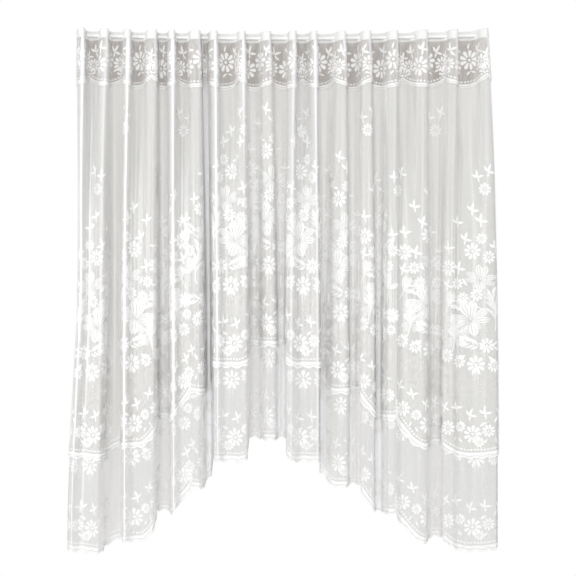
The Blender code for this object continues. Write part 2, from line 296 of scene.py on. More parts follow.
class Drape:
    """The folds as a table, from which any flat place at any drop gets its place in the room."""

    def __init__(self):
        self.flats = places_across(PLAN_COLUMNS)
        self.step = self.flats[1] - self.flats[0]
        rows = []
        for drop in np.arange(0.0, PLAN_TO, PLAN_STEP):
            lines = [group_line(group, drop) for group in fold_groups()]
            line = np.concatenate([lines[0]] + [line[1:] for line in lines[1:]])
            x, y = (
                rounded(np.interp(self.flats, line[:, 2], line[:, axis]), ROUND_OFF / self.step)
                for axis in (X, Y)
            )
            ahead_x, ahead_y = np.gradient(x), np.gradient(y)
            size = np.hypot(ahead_x, ahead_y)
            turned = np.abs(np.gradient(np.unwrap(np.arctan2(ahead_y, ahead_x)))) / self.step
            rows.append(np.stack([x, y, -ahead_y / size, ahead_x / size, turned], axis=1))
        self.table = np.array(rows)
        self.top = rod_height(self.table[0, :, X])

    def look_up(self, flat, drop):
        """The table's columns at flat places and drops, and the rod's height there."""
        column = np.clip((flat + FLAT_HALF) / self.step, 0, PLAN_COLUMNS - INSIDE)
        row = np.clip(drop / PLAN_STEP, 0, len(self.table) - INSIDE)
        left, above = column.astype(int), row.astype(int)
        across, down = (column - left)[..., None], (row - above)[..., None]
        upper = between(self.table[above, left], self.table[above, left + 1], across)
        lower = between(self.table[above + 1, left], self.table[above + 1, left + 1], across)
        return between(upper, lower, down), between(self.top[left], self.top[left + 1], column - left)

    def place(self, flat, drop, layer, proud):
        """Points in the room, this far proud of a layer. Layer 0 is in the middle, 1 behind it."""
        found, top = self.look_up(flat, drop)
        step = between(LAYER_STEP_TOP, LAYER_STEP_LOW, ramp(drop, FLOUNCE_BOTTOM, STEPS[0].start))
        opened = between(LAYERS_MEET, 1.0, ramp(drop, BAND_BELOW, BAND_BELOW + SLOT_SPACING / 2))
        wave = flat / RIPPLE_LENGTH + RIPPLE_DRIFT * np.sin(2 * pi * flat / RIPPLE_WAVE)
        ripple = RIPPLE * ramp(drop, BAND_BELOW, STEPS[0].start) * np.sin(2 * pi * wave)
        back = layer * step * opened + ripple - proud
        x = MIDDLE_X + found[..., X] + found[..., SQUARE_X] * back
        y = found[..., Y] + found[..., SQUARE_Y] * back
        return np.stack([x, y, top - drop], axis=-1)


drape = Drape()

# ---- The hems ----


def side_arch(away, begins):
    """The drops of the steps that begin at these distances from the middle, at distances from it."""
    ends = np.append(begins[1:], FLAT_HALF)
    number = np.searchsorted(begins[1:], away, side="right")
    share = np.clip((away - begins[number]) / (ends - begins)[number], 0.0, 1.0)
    start, bottom, rise = np.array([step[2:] for step in STEPS])[number].T
    fall = np.sin(np.minimum(share / STEP_FALL, 1.0) * pi / 2)
    end = np.maximum(share - STEP_FALL, 0.0) / (1.0 - STEP_FALL)
    return between(start, bottom, fall) - rise * end**2


def tier_arch(flat):
    """The front tier's drop at flat places: the steps of its arch."""
    left, right = (np.array([step[side] for step in STEPS]) for side in (0, 1))
    return np.where(flat < 0.0, side_arch(-flat, left), side_arch(flat, right))


def tier_hem(flat):
    """The arch with the small scallops along it."""
    scallop = np.abs(np.sin((flat + FLAT_HALF) * pi / SCALLOP_LENGTH))
    return tier_arch(flat) - SCALLOP_DEPTH * (1.0 - scallop)


def flounce_arch(flat):
    """The flounce's drop at flat places: round lobes that meet in cusps."""
    lobe = np.abs(np.sin((flat - FLOUNCE_CUSP_AT) * pi / FLOUNCE_REPEAT))
    return between(FLOUNCE_CUSP, FLOUNCE_BOTTOM, lobe**FLOUNCE_ROUNDNESS)


def flounce_hem(flat):
    """The lobes with their own small scallops."""
    scallop = np.abs(np.sin((flat - FLOUNCE_CUSP_AT) * pi / FLOUNCE_SCALLOP))
    return flounce_arch(flat) - FLOUNCE_SCALLOP_DEPTH * (1.0 - scallop)


def rear_arch(flat):
    """The rear tier's drop, which is the front one's and a little more."""
    return tier_arch(flat) + REAR_EXTRA


def rear_hem(flat):
    return tier_hem(flat) + REAR_EXTRA


# ---- Materials ----

# The colour sockets of a Mix node
MIX_FIRST, MIX_SECOND, MIX_RESULT = 6, 7, 2


class Nodes:
    """The nodes of a material or a world, with short ways to add to them."""

    def __init__(self, owner, shader):
        owner.use_nodes = True
        self.owner = owner
        self.tree = owner.node_tree
        self.shader = self.tree.nodes[shader]

    def feed(self, node, inputs):
        """Give a node's inputs their values, or link them to other nodes' outputs."""
        for name, value in inputs.items():
            if isinstance(value, bpy.types.NodeSocket):
                self.tree.links.new(value, node.inputs[name])
            else:
                node.inputs[name].default_value = value

    def add(self, kind, inputs, **settings):
        """Add a node, and return its outputs."""
        node = self.tree.nodes.new(kind)
        for key, value in settings.items():
            setattr(node, key, value)
        self.feed(node, inputs)
        return node.outputs

    def math(self, operation, *values, clamp=False):
        inputs = dict(enumerate(values))
        return self.add("ShaderNodeMath", inputs, operation=operation, use_clamp=clamp)[0]

    def wave(self, value):
        """A row of rounded ridges, 0 between them and 1 on top, one for each pi."""
        return self.math("ABSOLUTE", self.math("SINE", value))

    def attribute(self, name, output="Fac"):
        return self.add("ShaderNodeAttribute", {}, attribute_name=name)[output]

    def axes(self, vector):
        """A vector's first two numbers."""
        return self.add("ShaderNodeSeparateXYZ", {0: vector})[:2]

    def noise(self, vector, scale, detail=2.0):
        inputs = {"Vector": vector, "Scale": scale, "Detail": detail}
        return self.add("ShaderNodeTexNoise", inputs)["Fac"]

    def stretched(self, vector, scale):
        return self.add("ShaderNodeMapping", {"Vector": vector, "Scale": scale})["Vector"]

    def mapped(self, value, low, high, to_low, to_high):
        names = ("Value", "From Min", "From Max", "To Min", "To Max")
        inputs = dict(zip(names, (value, low, high, to_low, to_high)))
        return self.add("ShaderNodeMapRange", inputs, clamp=True)["Result"]

    def colours(self, factor, first, second):
        """Colour the shader from first to second."""
        self.mix(factor, (*first, 1.0), second)

    def blend(self, factor, colour):
        """Mix a colour over what the shader has so far."""
        self.mix(factor, self.shader.inputs["Base Color"].links[0].from_socket, colour)

    def mix(self, factor, first, second):
        inputs = {"Factor": factor, MIX_FIRST: first, MIX_SECOND: (*second, 1.0)}
        mixed = self.add("ShaderNodeMix", inputs, data_type="RGBA")[MIX_RESULT]
        self.feed(self.shader, {"Base Color": mixed})

    def cut_out(self, cover, gaps, sharpness):
        """See-through where the gaps' value is over the cover's, with edges this sharp."""
        solid = self.math("MULTIPLY", self.math("SUBTRACT", cover, gaps), sharpness)
        self.feed(self.shader, {"Alpha": self.math("ADD", solid, 0.5, clamp=True)})

    def bump(self, height, strength, distance):
        inputs = {"Height": height, "Strength": strength, "Distance": distance}
        self.feed(self.shader, {"Normal": self.add("ShaderNodeBump", inputs)["Normal"]})


def new_material(name, colour, roughness):
    n = Nodes(bpy.data.materials.new(name), "Principled BSDF")
    n.feed(n.shader, {"Base Color": (*colour, 1.0), "Roughness": roughness})
    n.owner.diffuse_color = (*colour, 1.0)
    return n


# The net's cells, how unevenly they are knitted and how close the net is in a crease
NET_CELL, NET_SHARPNESS = 0.0026, 9.0
NET_WOBBLE, NET_WOBBLE_SCALE = 0.35, 420.0
NET_STREAKS, STREAK_SCALE, STREAK_STRETCH = 0.05, 60.0, (1.0, 0.06, 1.0)
NET_GATHERED, NET_STRETCHED = 0.97, 0.08
# The net's painted highlight, in its creases and along its outer edges
NET_PAINTED_HIGHLIGHT = (0.91, 0.91, 0.94)
NET_RELIEF = 0.0004


def net_material(name, thread, shade, painted_valley_tone):
    """Knitted net: crossing threads with open cells, closer and with a painted highlight in the folds'
    creases, open on their walls.
    """
    n = new_material(name, shade, 0.85)
    flat = n.attribute("flat", "Vector")
    wobble = n.math("MULTIPLY", n.noise(flat, NET_WOBBLE_SCALE), NET_WOBBLE)
    across, down = (n.math("DIVIDE", axis, NET_CELL) for axis in n.axes(flat))
    ways = [n.math("ADD", n.math(sign, across, down), wobble) for sign in ("ADD", "SUBTRACT")]
    nearest = n.math("MINIMUM", *(n.wave(n.math("MULTIPLY", way, pi)) for way in ways))
    gather_and_highlight = n.attribute("gather_and_highlight")
    streaks = n.noise(n.stretched(flat, STREAK_STRETCH), STREAK_SCALE)
    width = n.mapped(gather_and_highlight, 0.0, 1.0, thread, NET_GATHERED)
    width = n.math("ADD", width, n.mapped(streaks, 0.3, 0.7, -NET_STREAKS, NET_STREAKS))
    width = n.math("SUBTRACT", width, n.math("MULTIPLY", n.attribute("steep"), NET_STRETCHED))
    n.cut_out(width, nearest, NET_SHARPNESS)
    # Painted light or shade towards the back of the folds, in each layer's valley tone
    n.colours(n.attribute("deep"), shade, painted_valley_tone)
    # Painted highlight where the net closes in the creases and along its outer edges
    n.blend(gather_and_highlight, NET_PAINTED_HIGHLIGHT)
    n.bump(n.math("SUBTRACT", 1.0, nearest), 0.5, NET_RELIEF)
    return n.owner


# The stitches of thread: how long and wide they are, how they slant and how uneven they are
COURSE, WALE, STITCH_SLANT = 0.00042, 0.00055, 0.6
STITCH_WOBBLE, STITCH_WOBBLE_SCALE = 1.1, 700.0
HOLLOW_SCALE, HOLLOW_SHARE = 230.0, 0.9
THREAD_GAP, THREAD_COVER, THREAD_SHARPNESS = 0.00075, 1.4, 8.0
THREAD_RELIEF = 0.0003
FABRIC_SHEEN = 0.15


def thread_material(name, groove_shade, bright, hollow):
    """Close stitches of thick thread: flowers, leaves, dots and edges. Fill 1 is solid."""
    n = new_material(name, bright, 0.72)
    grain = n.attribute("grain", "Vector")
    across, along = n.axes(grain)
    wobble = n.math("MULTIPLY", n.noise(grain, STITCH_WOBBLE_SCALE), STITCH_WOBBLE)
    course = n.math("ADD", n.math("DIVIDE", along, COURSE), wobble)
    slant = n.math("MULTIPLY", n.math("DIVIDE", across, WALE), STITCH_SLANT)
    stitches = n.wave(n.math("ADD", course, slant))
    # Painted shade: the thread darkens between the stitches
    n.colours(stitches, groove_shade, bright)
    n.blend(n.mapped(n.noise(grain, HOLLOW_SCALE), 0.45, 0.70, 0.0, HOLLOW_SHARE), hollow)
    cover = n.math("MULTIPLY", n.attribute("fill"), THREAD_COVER)
    n.cut_out(cover, n.wave(n.math("DIVIDE", across, THREAD_GAP)), THREAD_SHARPNESS)
    n.bump(stitches, 0.6, THREAD_RELIEF)
    n.feed(n.shader, {"Sheen Weight": FABRIC_SHEEN})
    return n.owner


TAPE_RIB, TAPE_COURSE, TAPE_RELIEF, TAPE_WEAR_SCALE = 0.00050, 0.00032, 0.0004, 90.0


def tape_material():
    """The heading's dense knitted tape: upright ribs crossed by fine courses."""
    n = new_material("heading_tape", (0.93, 0.93, 0.92), 0.8)
    flat = n.attribute("flat", "Vector")
    across, down = n.axes(flat)
    ribs = n.wave(n.math("DIVIDE", across, TAPE_RIB))
    courses = n.wave(n.math("DIVIDE", down, TAPE_COURSE))
    weave = n.math("MULTIPLY", ribs, n.math("ADD", n.math("MULTIPLY", courses, 0.5), 0.5))
    # Painted shade between the ribs and courses, in patches of wear
    rib_shade_and_wear = n.math("MULTIPLY", weave, n.mapped(n.noise(flat, TAPE_WEAR_SCALE), 0.3, 0.7, 0.8, 1.0))
    n.colours(rib_shade_and_wear, (0.76, 0.76, 0.75), (0.91, 0.91, 0.905))
    n.bump(weave, 0.7, TAPE_RELIEF)
    n.feed(n.shader, {"Sheen Weight": FABRIC_SHEEN})
    return n.owner


PAINT_PEEL_SCALE, PAINT_RELIEF = 900.0, 0.0002
# The rubbed patches are long along the rod
RUBBED_STRETCH = (6.0, 60.0, 60.0)
GLOSSY, DULL = 0.26, 0.5


def paint_material():
    """The rod's white paint, with a faint orange peel and rubbed patches that are less glossy."""
    n = new_material("rod_paint", (0.90, 0.90, 0.89), 0.32)
    place = n.add("ShaderNodeTexCoord", {})["Object"]
    peel = n.noise(place, PAINT_PEEL_SCALE)
    rubbed = n.noise(n.stretched(place, RUBBED_STRETCH), 1.0, 3.0)
    n.feed(n.shader, {"Roughness": n.mapped(rubbed, 0.35, 0.7, GLOSSY, DULL)})
    n.colours(rubbed, (0.92, 0.92, 0.91), (0.86, 0.86, 0.85))
    n.bump(peel, 0.15, PAINT_RELIEF)
    return n.owner


# Each layer's net: its threads' width as a share of a cell, and its shade at the folds' front and back.
# These greys are painted shade on the thin threads, deeper on the flounce and the rear tier than on the
# front tier. At the folds' back the flounce is painted darker and warmer, as shade, and the tiers lighter,
# as light.
NETS = {
    "flounce": (0.50, (0.63, 0.605, 0.58), (0.41, 0.365, 0.34)),
    "front": (0.43, (0.71, 0.705, 0.68), (0.79, 0.78, 0.755)),
    "rear": (0.53, (0.48, 0.475, 0.462), (0.56, 0.545, 0.525)),
}
# Each layer's thread: between the stitches, which is painted shade, on top of them and in hollow patches.
# The rear tier's thread is painted darker all over, as shade.
THREADS = {
    "flounce": ((0.85, 0.845, 0.84), (0.95, 0.95, 0.945), (0.76, 0.755, 0.75)),
    "front": ((0.85, 0.85, 0.845), (0.95, 0.95, 0.95), (0.76, 0.76, 0.755)),
    "rear": ((0.77, 0.765, 0.76), (0.88, 0.88, 0.875), (0.69, 0.685, 0.68)),
}

# ---- Meshes ----


def add_object(name, data):
    """A new object in the scene."""
    thing = bpy.data.objects.new(name, data)
    bpy.context.scene.collection.objects.link(thing)
    return thing


def add_piece(name, points, faces, look, values):
    """A piece with smooth faces. values are its point attributes: one number or three for each point."""
    mesh = bpy.data.meshes.new(name)
    mesh.from_pydata(points.reshape(-1, 3).tolist(), [], [list(map(int, face)) for face in faces])
    for key, numbers in values.items():
        vector = numbers.ndim > 1
        kind = "FLOAT_VECTOR" if vector else "FLOAT"
        attribute = mesh.attributes.new(key, kind, "POINT")
        attribute.data.foreach_set("vector" if vector else "value", numbers.astype(np.float32).ravel())
    mesh.shade_smooth()
    mesh.materials.append(look)
    piece = add_object(name, mesh)
    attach(piece, "root")
    return piece


def grid_faces(rows, columns):
    """Quads of a grid of points that are numbered row by row."""
    first = (np.arange(rows - 1)[:, None] * columns + np.arange(columns - 1)).ravel()
    return np.stack([first, first + columns, first + columns + 1, first + 1], axis=1)


def flat_vectors(flat, drop):
    """Flat places as vectors, for a point attribute."""
    return np.stack([flat, drop, np.zeros_like(flat)], axis=-1).reshape(-1, 3)


NET_COLUMNS = 743
TOP = BAND_BELOW + SEAM_GAP
# The turns for each metre between which the net closes and gets its painted highlight, how far it faces
# sideways where it opens, and how far behind the rod's axis it gets its painted light or shade
CREASE_RANGE, STEEP_RANGE, PAINTED_VALLEY_RANGE = (58.0, 104.0), (0.50, 0.92), (-0.010, 0.022)
# The net closes, with its painted highlight, by this share between these distances from its outer edges
SELVEDGE_GATHER_AND_HIGHLIGHT, SELVEDGE = 0.35, (0.007, 0.004)


def make_net(name, layer, look):
    """One layer's net, from the heading down to its hem."""
    flats = places_across(NET_COLUMNS)
    shares = np.linspace(0.0, 1.0, layer.rows)[:, None]
    drops = between(TOP, layer.hem(flats), shares)
    flats = np.broadcast_to(flats, drops.shape)
    points = drape.place(flats, drops, layer.number, 0.0)
    found = drape.look_up(flats, drops)[0]
    crease = ramp(found[..., TURN], *CREASE_RANGE)
    selvedge = SELVEDGE_GATHER_AND_HIGHLIGHT * ramp(np.abs(flats), *(FLAT_HALF - np.array(SELVEDGE)))
    gather_and_highlight = np.maximum(crease, selvedge)
    values = {
        "flat": flat_vectors(flats, drops),
        "gather_and_highlight": gather_and_highlight.ravel(),
        "steep": ramp(np.abs(found[..., SQUARE_X]), *STEEP_RANGE).ravel(),
        # Where the net gets its painted light or shade, towards the back of the folds
        "deep": ramp(points[..., Y], *PAINTED_VALLEY_RANGE).ravel(),
    }
    return add_piece(name, points, grid_faces(*drops.shape), look, values)


def closed_along(rows, columns):
    """Quads of a bar whose rings of points run round its section, with its two ends closed."""
    quads = grid_faces(rows + 1, columns) % (rows * columns)
    start = [row * columns for row in reversed(range(rows))]
    end = [(row + 1) * columns - 1 for row in range(rows)]
    return quads.tolist() + [start, end]


EDGE_COLUMNS = 901
# The border's section: shares of its width from the hem up, half its thickness and its fill there
EDGE_SECTION = (
    (0.00, 0.0003, 1.0),
    (0.12, 0.0009, 1.0),
    (0.26, 0.0004, 1.0),
    (0.34, 0.0003, 0.30),
    (0.46, 0.0003, 0.30),
    (0.54, 0.0004, 1.0),
    (0.80, 0.0004, 1.0),
    (0.90, 0.0008, 1.0),
    (1.00, 0.0003, 1.0),
)
STEEPEST = 2.2


def lifted(flats, arch, width):
    """The drops of a line that runs a width above an arch, measured square to it where it isn't steep."""
    slope = np.gradient(arch(flats), flats)
    return arch(flats) - width * np.minimum(np.sqrt(1.0 + slope**2), STEEPEST)


def make_edge(name, layer, look):
    """The solid border along a hem: a thick cord at the edge and a thin one along its upper side."""
    flats = places_across(EDGE_COLUMNS)
    low, high = layer.hem(flats), lifted(flats, layer.arch, layer.edge_width)
    back = [(share, -thick, fill) for share, thick, fill in reversed(EDGE_SECTION)]
    ring = list(EDGE_SECTION) + back
    shares, prouds, fills = (np.array(column)[:, None] for column in zip(*ring))
    drops = between(low, high, shares)
    wide = np.broadcast_to(flats, drops.shape)
    points = drape.place(wide, drops, layer.number, np.broadcast_to(prouds, drops.shape))
    values = {
        "grain": flat_vectors(drops - low, wide),
        "fill": np.broadcast_to(fills, drops.shape).ravel(),
    }
    return add_piece(name, points, closed_along(*drops.shape), look, values)


# ---- Flowers, as patches of thread drawn flat: across and up from a motif's own place ----

# The patches' shapes: shares of their length, with their width there as a share of the widest
PROFILES = {
    "petal": ((0.0, 0.34), (0.3, 0.70), (0.6, 0.97), (0.8, 1.0), (0.94, 0.78), (1.0, 0.30)),
    "leaf": ((0.0, 0.15), (0.25, 0.78), (0.45, 1.0), (0.7, 0.72), (0.9, 0.27), (1.0, 0.03)),
    "lily": ((0.0, 0.28), (0.3, 0.72), (0.58, 1.0), (0.8, 0.86), (0.93, 0.48), (1.0, 0.08)),
    "frond": ((0.0, 0.25), (0.3, 0.85), (0.6, 1.0), (0.85, 0.6), (1.0, 0.06)),
    "button": ((0.0, 0.1), (0.15, 0.7), (0.5, 1.0), (0.85, 0.7), (1.0, 0.1)),
    "stem": ((0.0, 1.0), (1.0, 0.7)),
    "drop": ((0.0, 0.25), (0.6, 0.5), (0.85, 1.0), (1.0, 0.3)),
}
# How proud of the net a patch is along its middle and its sides
RAISED, SUNK = 0.0006, -0.0001
LINE_STEP, LINE_STEPS = 0.0055, 4

# Turns and bends are in degrees. Lengths and widths are shares of a motif's size, or metres if under 0.02.
# Daisies, and fans like half of one: where the petals begin, their lengths and the round middle
HEART, BUTTON = 0.30, 0.34
DAISY_PETALS, DAISY_PETAL, DAISY_CLOSE = 9, 0.70, 0.592
FAN, FAN_PETAL, FAN_WIDTH, FAN_BUTTON, FAN_SINK = (-78, -47, -16, 16, 47, 78), 0.75, 0.26, 0.30, 0.10
# Leaves, and a sprig's leaves as turn, length and width
LEAF_WIDTH, LEAF_CURL = 0.34, 16.0
SPRIG = ((-54, 1.00, 0.40), (2, 1.20, 0.42), (84, 1.02, 0.40), (170, 0.80, 0.30))
SPRIG_CURL = 12.0
# Big petals: the open slits between their ribs
SLIT, LILY_SLIT, THINNEST = 0.0018, 0.0026, 0.0007
# A lily's petals as turn, start, length, width and bend, and its stamens
LILY = (
    (-19, 0.13, 0.90, 0.52, 12),
    (23, 0.12, 0.88, 0.52, -12),
    (-64, 0.14, 0.98, 0.38, -16),
    (-100, 0.13, 0.90, 0.36, 14),
    (66, 0.14, 0.92, 0.42, 14),
    (106, 0.13, 0.84, 0.38, -14),
    (-146, 0.12, 0.56, 0.34, 0),
    (176, 0.12, 0.70, 0.52, 0),
    (144, 0.12, 0.54, 0.34, 0),
)
STAMENS, STAMEN_LENGTH, STAMEN_WIDTH, STAMEN_RAISED = (-20, 4, 26), 0.30, 0.0022, 0.0016
ANTHER, ANTHER_RAISED = 0.006, 0.0018
# A broad leaf: its teeth, where they sit along it, its tip and its stalk
TEETH, TEETH_FROM, TEETH_TO, BROAD_BEND = 5, 0.10, 0.86, 26.0
TOOTH_LENGTH, TOOTH_WIDTH, TOOTH_TURN, TOOTH_BEND = 0.50, 0.125, 44, -22
LONGEST_AT, SHORTENING = 0.30, 1.875
BROAD_TIP, BROAD_TIP_WIDTH = 0.22, 0.16
STALK, BROAD_STALK, BUD_STALK = 0.0034, 0.4, 0.9
# A fern's fronds as place along the stem, side of it, length and bend, and its tip
FERN = (
    (0.34, -1, 0.50, 62),
    (0.46, 1, 0.46, 66),
    (0.54, -1, 0.50, 54),
    (0.68, 1, 0.40, 58),
    (0.72, -1, 0.46, 44),
    (0.88, -1, 0.38, 30),
    (0.90, 1, 0.34, 44),
)
FERN_STEM, FERN_BEND, FERN_TIP, FERN_TIP_WIDTH, TIP_BEND = 0.0042, -34.0, 0.30, 0.07, -20.0
FROND_TURN, FROND_WIDTH = 10, 0.10
# A trail: its stems' turns and lengths, and the drop at each one's end. TRAIL_BEND, DROP_TURN and BUD_BEND
# are shares of the turn.
TRAIL = ((-32, 0.62), (-6, 0.9), (14, 1.0), (40, 0.7))
TRAIL_STEM, TRAIL_BEND, DROP, DROP_WIDTH, DROP_TURN = 0.0030, -0.6, 0.011, 0.0056, 0.4
# A bud: two petals that close over each other and a shorter one aside
BUD, BUD_WIDTH, BUD_BEND = (-24, 22), 0.46, -1.2
ASIDE_TURN, ASIDE_LENGTH, ASIDE_WIDTH, ASIDE_BEND, STALK_BEND = 96, 0.8, 0.34, -30, 24


def towards(turn):
    """The direction at a turn, in degrees from straight up to the right."""
    return np.array([sin(radians(turn)), cos(radians(turn))])


def curve(start, turn, length, bend):
    """Points from start, first at a turn, of a line that bends to the right."""
    count = max(LINE_STEPS, int(np.ceil(length / LINE_STEP)))
    angle = np.radians(turn + bend * (np.arange(count) + 0.5) / count)
    steps = np.stack([np.sin(angle), np.cos(angle)], axis=1) * length / count
    return np.concatenate([[start], start + np.cumsum(steps, axis=0)])


def square_to(line):
    """Unit vectors to the left of a line, one at each of its points."""
    ahead = np.gradient(line, axis=0)
    ahead /= np.hypot(*ahead.T)[:, None]
    return np.stack([-ahead[:, 1], ahead[:, 0]], axis=1)


def half_widths(shape, width, line):
    """Half a shape's width at each point of its line."""
    return np.interp(np.linspace(0.0, 1.0, len(line)), *zip(*PROFILES[shape])) * width / 2


# A patch's points, how proud each is and its place in the thread's grain, and the faces between them
Patch = namedtuple("Patch", "places prouds grains faces")


class Motif:
    """Patches of thread, each a strip along a curved line, with its points drawn flat."""

    def __init__(self):
        self.patches = []

    def strip(self, line, halves, raised=RAISED):
        """A strip with a half width at each point of its line, domed from its sides to its middle."""
        across = np.array([-1.0, 0.0, 1.0])
        aside = np.asarray(halves)[:, None] * across
        places = line[:, None] + square_to(line)[:, None] * aside[..., None]
        prouds = np.broadcast_to(between(SUNK, raised, 1.0 - across**2), aside.shape)
        along = np.broadcast_to(lengths_along(line)[:, None], aside.shape)
        grains = flat_vectors(aside, along)
        self.patches.append(Patch(places.reshape(-1, 2), prouds.ravel(), grains, grid_faces(*aside.shape)))

    def blade(self, start, turn, length, width, shape, bend=0.0, raised=RAISED):
        """A strip of a named shape. It returns its line."""
        line = curve(start, turn, length, bend)
        self.strip(line, half_widths(shape, width, line), raised)
        return line

    def ribbed(self, start, turn, length, width, shape, bend=0.0, ribs=3, slit=SLIT):
        """A big petal: solid ribs side by side, with open slits between them."""
        line = curve(start, turn, length, bend)
        halves = half_widths(shape, width, line)
        for rib in range(ribs):
            aside = (2 * rib + 1) / ribs - 1
            path = line + square_to(line) * (aside * halves)[:, None]
            self.strip(path, np.maximum(halves / ribs - slit / 2, THINNEST))

    def petals(self, middle, turns, size, length, width):
        for turn in turns:
            foot = middle + towards(turn) * HEART * size
            self.blade(foot, turn, length * size, width * size, "petal")

    def daisy(self, middle, size, turn):
        turns = [turn + 360.0 * n / DAISY_PETALS for n in range(DAISY_PETALS)]
        self.petals(middle, turns, size, DAISY_PETAL, 2 * pi * DAISY_CLOSE / DAISY_PETALS)
        foot = middle - towards(0) * BUTTON / 2 * size
        self.blade(foot, 0.0, BUTTON * size, BUTTON * size, "button", raised=1.5 * RAISED)

    def fan(self, middle, size, turn):
        """Half a daisy, open upwards."""
        turns = [turn + spread for spread in FAN]
        self.petals(middle, turns, size, FAN_PETAL, FAN_WIDTH)
        foot = middle - towards(0) * FAN_SINK * size
        self.blade(foot, 0.0, FAN_BUTTON * size, BUTTON * size, "button")

    def leaf(self, foot, size, turn):
        self.blade(foot, turn, size, LEAF_WIDTH * size, "leaf", LEAF_CURL)

    def sprig(self, foot, size, turn):
        """Three pointed leaves that open out from one point, over a smaller one."""
        for spread, length, width in SPRIG:
            self.blade(foot, turn + spread, length * size, width * size, "leaf", SPRIG_CURL)

    def lily(self, middle, size, turn):
        """A large open lily, seen a little from its side."""
        for spread, start, length, width, bend in LILY:
            way = turn + spread
            foot = middle + towards(way) * start * size
            self.ribbed(foot, way, length * size, width * size, "lily", bend, slit=LILY_SLIT)
        for spread in STAMENS:
            way, length = turn + spread, STAMEN_LENGTH * size
            line = self.blade(middle, way, length, STAMEN_WIDTH, "stem", raised=STAMEN_RAISED)
            self.blade(line[-1], way, ANTHER, ANTHER, "button", raised=ANTHER_RAISED)

    def broad_leaf(self, foot, size, turn):
        """A broad leaf cut into teeth along both sides of its open midrib."""
        line = curve(foot, turn, size, BROAD_BEND)
        for at in np.linspace(TEETH_FROM, TEETH_TO, TEETH):
            joint = line[int(round(at * (len(line) - 1)))]
            here = turn + BROAD_BEND * at
            length = TOOTH_LENGTH * size * (1.0 - SHORTENING * (at - LONGEST_AT) ** 2)
            for side in (-1, 1):
                start = joint + towards(here + 90.0) * side * SLIT / 2
                way, bend = here + side * TOOTH_TURN, side * TOOTH_BEND
                self.blade(start, way, length, TOOTH_WIDTH * size, "leaf", bend)
        tip, tip_width = BROAD_TIP * size, BROAD_TIP_WIDTH * size
        self.blade(line[-2], turn + BROAD_BEND, tip, tip_width, "leaf")
        self.blade(foot, turn + 180, BROAD_STALK * size, STALK, "stem", TIP_BEND)

    def fern(self, foot, size, turn):
        """A curved stem with long narrow fronds that arch away from it."""
        line = self.blade(foot, turn, size, FERN_STEM, "stem", FERN_BEND)
        for at, side, length, bend in FERN:
            joint = line[int(at * (len(line) - 1))]
            way = turn + FERN_BEND * at + side * FROND_TURN
            self.ribbed(joint, way, length * size, FROND_WIDTH * size, "frond", side * bend, ribs=2)
        tip, tip_width = FERN_TIP * size, FERN_TIP_WIDTH * size
        self.blade(line[-1], turn + FERN_BEND, tip, tip_width, "frond", TIP_BEND)

    def trail(self, top, size, turn):
        """Loose stems that hang from a spray, with a drop at the end of each."""
        down = 180 + turn
        for spread, length in TRAIL:
            bend = TRAIL_BEND * spread
            line = self.blade(top, down + spread, length * size, TRAIL_STEM, "stem", bend)
            self.blade(line[-2], down + DROP_TURN * spread, DROP, DROP_WIDTH, "drop")

    def bud(self, foot, size, turn):
        for spread in BUD:
            self.ribbed(foot, turn + spread, size, BUD_WIDTH * size, "lily", BUD_BEND * spread)
        length, width = ASIDE_LENGTH * size, ASIDE_WIDTH * size
        self.ribbed(foot, turn + ASIDE_TURN, length, width, "lily", ASIDE_BEND, ribs=2)
        self.blade(foot, turn + 180, BUD_STALK * size, STALK, "stem", STALK_BEND)


# Patterns: each row's kind, its place across from the middle of a step and up from the hem and its size,
# all in millimetres, and its turn in degrees
BOUQUET = (
    ("sprig", -8, 863, 27, 6),
    ("sprig", -66, 817, 26, -8),
    ("sprig", 22, 821, 29, 0),
    ("sprig", -37, 757, 27, 10),
    ("sprig", 72, 726, 26, -10),
    ("sprig", -62, 650, 28, 4),
    ("daisy", 24, 760, 21, 8),
    ("daisy", -10, 715, 31, 0),
    ("daisy", 50, 692, 24, 14),
    ("lily", 18, 610, 54, 8),
    ("broad_leaf", 74, 602, 54, 38),
    ("daisy", -68, 598, 22, 6),
    ("daisy", -46, 546, 21, 12),
    ("daisy", 98, 544, 22, 0),
    ("fern", 70, 422, 126, 12),
    ("fern", 24, 502, 92, -52),
    ("lily", -18, 464, 72, -12),
    ("bud", 98, 466, 56, -10),
    ("broad_leaf", 14, 368, 74, -78),
    ("daisy", 40, 370, 28, 4),
    ("broad_leaf", 58, 368, 74, 84),
    ("daisy", -62, 314, 24, 10),
    ("daisy", 0, 300, 34, 0),
    ("daisy", 66, 296, 24, 7),
    ("trail", 4, 296, 46, 0),
    ("daisy", -104, 656, 30, 5),
    ("sprig", -104, 724, 27, -12),
    ("bud", -104, 520, 50, 18),
    ("fern", -92, 350, 112, 22),
    ("daisy", -112, 336, 25, 0),
    ("daisy", 118, 366, 27, 9),
    ("daisy", 112, 314, 20, 0),
    ("sprig", 116, 654, 27, -18),
    ("lily", -66, 400, 50, -34),
    ("daisy", 4, 556, 24, 10),
    ("leaf", -30, 590, 34, -40),
    ("leaf", 60, 560, 34, 28),
    ("leaf", -54, 500, 36, -62),
    ("leaf", 44, 330, 34, 120),
    ("leaf", -38, 336, 34, -118),
    ("sprig", -110, 590, 26, 14),
    ("daisy", 118, 600, 22, 4),
)
